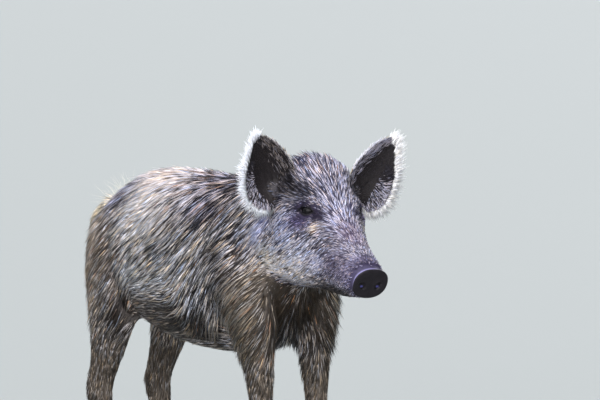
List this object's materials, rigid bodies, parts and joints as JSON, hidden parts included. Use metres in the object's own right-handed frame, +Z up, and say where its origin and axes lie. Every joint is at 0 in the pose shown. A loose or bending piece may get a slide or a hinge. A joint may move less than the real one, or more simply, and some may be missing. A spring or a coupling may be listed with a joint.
{
  "type": "young wild boar",
  "caption": "Young wild boar standing with its head turned slightly to its right, ears up, in a wiry grizzled coat, as a still life-size model.",
  "frame": {"origin": "on the floor, under the middle of the bounding box", "axes": "+X ahead along the trunk, +Y to the animal's left, +Z up"},
  "size_m": [0.8992, 0.2988, 0.6764],
  "materials": {
    "body_coat": "wiry grizzled bristles, dark at the root and pale at the tip",
    "face_coat": "short grizzled hair thinning to mauve skin at the snout",
    "leg_coat": "short dark brown hair",
    "ear_coat": "short grey hair with a long white fringe, dark and nearly bare inside",
    "tail_coat": "straw coloured hair with a tuft at the end",
    "nose_skin": "bare moist black skin",
    "eye": "wet and nearly black",
    "horn": "dark worn hoof horn"
  },
  "bodies": {
    "root": {"dew_claw_front_left_inner": "horn", "dew_claw_front_left_outer": "horn", "dew_claw_front_right_inner": "horn", "dew_claw_front_right_outer": "horn", "dew_claw_hind_left_inner": "horn", "dew_claw_hind_left_outer": "horn", "dew_claw_hind_right_inner": "horn", "dew_claw_hind_right_outer": "horn", "ear_left": "ear_coat", "ear_right": "ear_coat", "eye_left": "eye", "eye_right": "eye", "head": "face_coat", "hoof_front_left_inner": "horn", "hoof_front_left_outer": "horn", "hoof_front_right_inner": "horn", "hoof_front_right_outer": "horn", "hoof_hind_left_inner": "horn", "hoof_hind_left_outer": "horn", "hoof_hind_right_inner": "horn", "hoof_hind_right_outer": "horn", "leg_front_left_lower": "leg_coat", "leg_front_left_upper": "leg_coat", "leg_front_right_lower": "leg_coat", "leg_front_right_upper": "leg_coat", "leg_hind_left_lower": "leg_coat", "leg_hind_left_upper": "body_coat", "leg_hind_right_lower": "leg_coat", "leg_hind_right_upper": "body_coat", "lower_jaw": "face_coat", "neck": "body_coat", "nose_disc": "nose_skin", "tail": "tail_coat", "trunk": "body_coat"}
  },
  "joints": []
}
